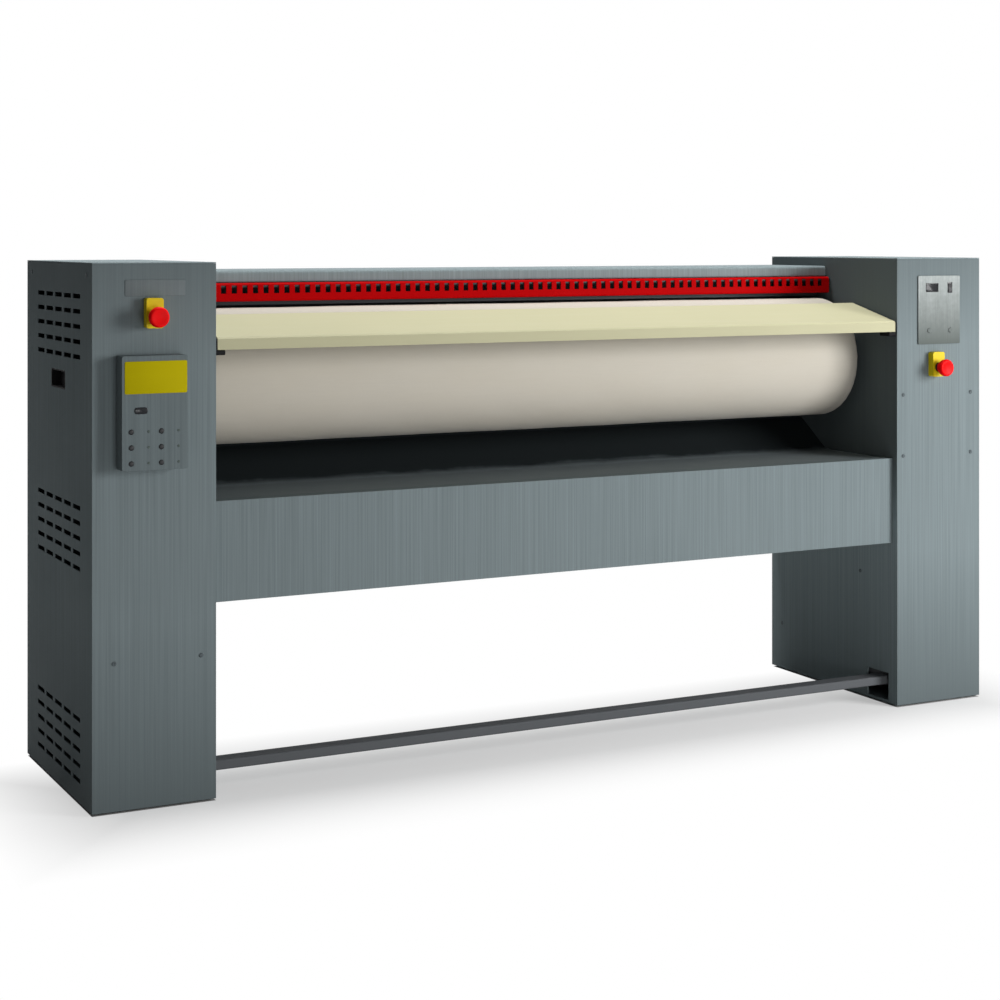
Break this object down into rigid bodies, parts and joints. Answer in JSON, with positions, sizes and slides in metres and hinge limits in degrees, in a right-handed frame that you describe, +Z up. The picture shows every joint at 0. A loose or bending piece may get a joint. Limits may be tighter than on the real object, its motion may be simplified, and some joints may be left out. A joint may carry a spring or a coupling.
{
  "type": "flatwork ironer",
  "caption": "Laundry flatwork ironer with a padded roll between two sheet-steel pedestals, a swinging heated chest, feed board, finger guard and treadle.",
  "frame": {"origin": "on the floor, at the centre of the bounding box", "axes": "+X along the roll to the operator's right, +Y to the rear, +Z up; the operator stands on the -Y side"},
  "size_m": [2.157, 0.6, 1.05],
  "materials": {
    "cover": "satin grey enamel, fine vertical grain",
    "frame": "satin dark grey",
    "black_rubber": "matt",
    "dark_steel": "satin black",
    "tray": "satin",
    "cream": "satin cream",
    "red_paint": "gloss red",
    "red_plastic": "gloss red",
    "steel": "brushed",
    "key_black": "matt black",
    "felt": "needled felt",
    "cloth": "woven ironing cloth",
    "cast_grey": "painted grey",
    "insulation": "mineral wool",
    "circuit": "matt green",
    "silver": "satin",
    "yellow": "satin yellow"
  },
  "bodies": {
    "root": {"frame_plate_left": "frame", "frame_plate_right": "frame", "front_cover_left": "cover", "front_cover_right": "cover", "side_cover_left": "cover", "side_cover_right": "cover", "rear_cover_left": "cover", "rear_cover_right": "cover", "top_cover_left": "cover", "top_cover_right": "cover", "front_panel": "cover", "rear_panel": "cover", "chest_hood": "cover", "control_box": "cover", "board_bracket_left": "black_rubber", "board_bracket_right": "black_rubber", "side_handle": "black_rubber", "drive_belt": "black_rubber", "cable_gland": "black_rubber", "rear_beam": "dark_steel", "linen_tray": "tray", "feed_board": "cream", "guard_rod": "steel", "guard_switch": "key_black", "roll_bearing_left": "cast_grey", "roll_bearing_right": "cast_grey", "gear_motor": "cast_grey", "control_board": "circuit", "control_plate": "silver", "contactor_plate": "cast_grey", "stop_housing_left": "yellow", "stop_housing_right": "yellow", "fan_housing": "cast_grey"},
    "finger_guard": {"finger_guard": "red_paint"},
    "roll": {"roll_drum": "steel", "roll_padding": "felt", "roll_cloth": "cloth", "roll_pulley": "cast_grey"},
    "motor_pulley": {"motor_pulley": "cast_grey"},
    "fan_impeller": {"fan_impeller": "steel"},
    "chest": {"chest_bed": "steel", "chest_heaters": "dark_steel", "chest_insulation": "insulation", "chest_shell": "tray", "rocker_shaft": "dark_steel"},
    "treadle": {"treadle": "dark_steel"},
    "link_rod": {"link_rod": "steel"},
    "key_1": {"key_1": "key_black"},
    "key_2": {"key_2": "key_black"},
    "key_3": {"key_3": "key_black"},
    "key_4": {"key_4": "key_black"},
    "key_5": {"key_5": "key_black"},
    "key_6": {"key_6": "key_black"},
    "plate_button_1": {"plate_button_1": "silver"},
    "plate_button_2": {"plate_button_2": "silver"},
    "rocker_switch": {"rocker_switch": "key_black"},
    "stop_stem_left": {"stop_stem_left": "key_black"},
    "stop_head_left": {"stop_head_left": "red_plastic"},
    "stop_stem_right": {"stop_stem_right": "key_black"},
    "stop_head_right": {"stop_head_right": "red_plastic"}
  },
  "joints": [
    {"name": "roll_turn", "type": "hinge", "parent": "root", "child": "roll", "pos_m": [0, 0.008, 0.809], "axis": [1, 0, 0], "continuous": true},
    {"name": "motor_turn", "type": "hinge", "parent": "root", "child": "motor_pulley", "pos_m": [-0.9, -0.025, 0.5], "axis": [1, 0, 0], "continuous": true},
    {"name": "fan_turn", "type": "hinge", "parent": "root", "child": "fan_impeller", "pos_m": [0.92, 0.008, 0.809], "axis": [1, 0, 0], "continuous": true},
    {"name": "guard_push", "type": "hinge", "parent": "root", "child": "finger_guard", "pos_m": [0, 0.012, 0.996], "axis": [1, 0, 0], "range_deg": [0, 10], "stiffness_Nm_per_rad": 2, "springref_deg": -5.73},
    {"name": "chest_swing", "type": "hinge", "parent": "root", "child": "chest", "pos_m": [0, 0.08, 0.45], "axis": [1, 0, 0], "range_deg": [0, 2.5]},
    {"name": "treadle_press", "type": "hinge", "parent": "root", "child": "treadle", "pos_m": [0, 0.14, 0.11], "axis": [1, 0, 0], "range_deg": [0, 5]},
    {"name": "link_turn", "type": "hinge", "parent": "treadle", "child": "link_rod", "pos_m": [-0.86, 0.2, 0.11], "axis": [1, 0, 0], "range_deg": [-5, 0]},
    {"name": "key_1_press", "type": "slide", "parent": "root", "child": "key_1", "axis": [0, 1, 0], "range_m": [0, 0.0015], "stiffness_N_per_m": 300, "springref_m": -0.001},
    {"name": "key_2_press", "type": "slide", "parent": "root", "child": "key_2", "axis": [0, 1, 0], "range_m": [0, 0.0015], "stiffness_N_per_m": 300, "springref_m": -0.001},
    {"name": "key_3_press", "type": "slide", "parent": "root", "child": "key_3", "axis": [0, 1, 0], "range_m": [0, 0.0015], "stiffness_N_per_m": 300, "springref_m": -0.001},
    {"name": "key_4_press", "type": "slide", "parent": "root", "child": "key_4", "axis": [0, 1, 0], "range_m": [0, 0.0015], "stiffness_N_per_m": 300, "springref_m": -0.001},
    {"name": "key_5_press", "type": "slide", "parent": "root", "child": "key_5", "axis": [0, 1, 0], "range_m": [0, 0.0015], "stiffness_N_per_m": 300, "springref_m": -0.001},
    {"name": "key_6_press", "type": "slide", "parent": "root", "child": "key_6", "axis": [0, 1, 0], "range_m": [0, 0.0015], "stiffness_N_per_m": 300, "springref_m": -0.001},
    {"name": "button_1_press", "type": "slide", "parent": "root", "child": "plate_button_1", "axis": [0, 1, 0], "range_m": [0, 0.0015], "stiffness_N_per_m": 300, "springref_m": -0.001},
    {"name": "button_2_press", "type": "slide", "parent": "root", "child": "plate_button_2", "axis": [0, 1, 0], "range_m": [0, 0.0015], "stiffness_N_per_m": 300, "springref_m": -0.001},
    {"name": "rocker_tip", "type": "hinge", "parent": "root", "child": "rocker_switch", "pos_m": [0.9865, -0.2533, 0.98], "axis": [1, 0, 0], "range_deg": [-8, 8]},
    {"name": "stop_press_left", "type": "slide", "parent": "root", "child": "stop_stem_left", "axis": [0, 1, 0], "range_m": [0, 0.004], "stiffness_N_per_m": 600, "springref_m": -0.002},
    {"name": "stop_twist_left", "type": "hinge", "parent": "stop_stem_left", "child": "stop_head_left", "pos_m": [-0.9605, -0.29, 0.946], "axis": [0, 1, 0], "range_deg": [0, 40], "stiffness_Nm_per_rad": 0.05},
    {"name": "stop_press_right", "type": "slide", "parent": "root", "child": "stop_stem_right", "axis": [0, 1, 0], "range_m": [0, 0.004], "stiffness_N_per_m": 600, "springref_m": -0.002},
    {"name": "stop_twist_right", "type": "hinge", "parent": "stop_stem_right", "child": "stop_head_right", "pos_m": [0.9415, -0.29, 0.793], "axis": [0, 1, 0], "range_deg": [0, 40], "stiffness_Nm_per_rad": 0.05}
  ],
  "couplings": [
    {"joint": "motor_turn", "follows": "roll_turn", "ratio": 3.1429},
    {"joint": "treadle_press", "follows": "chest_swing", "ratio": 2},
    {"joint": "link_turn", "follows": "chest_swing", "ratio": -2}
  ]
}
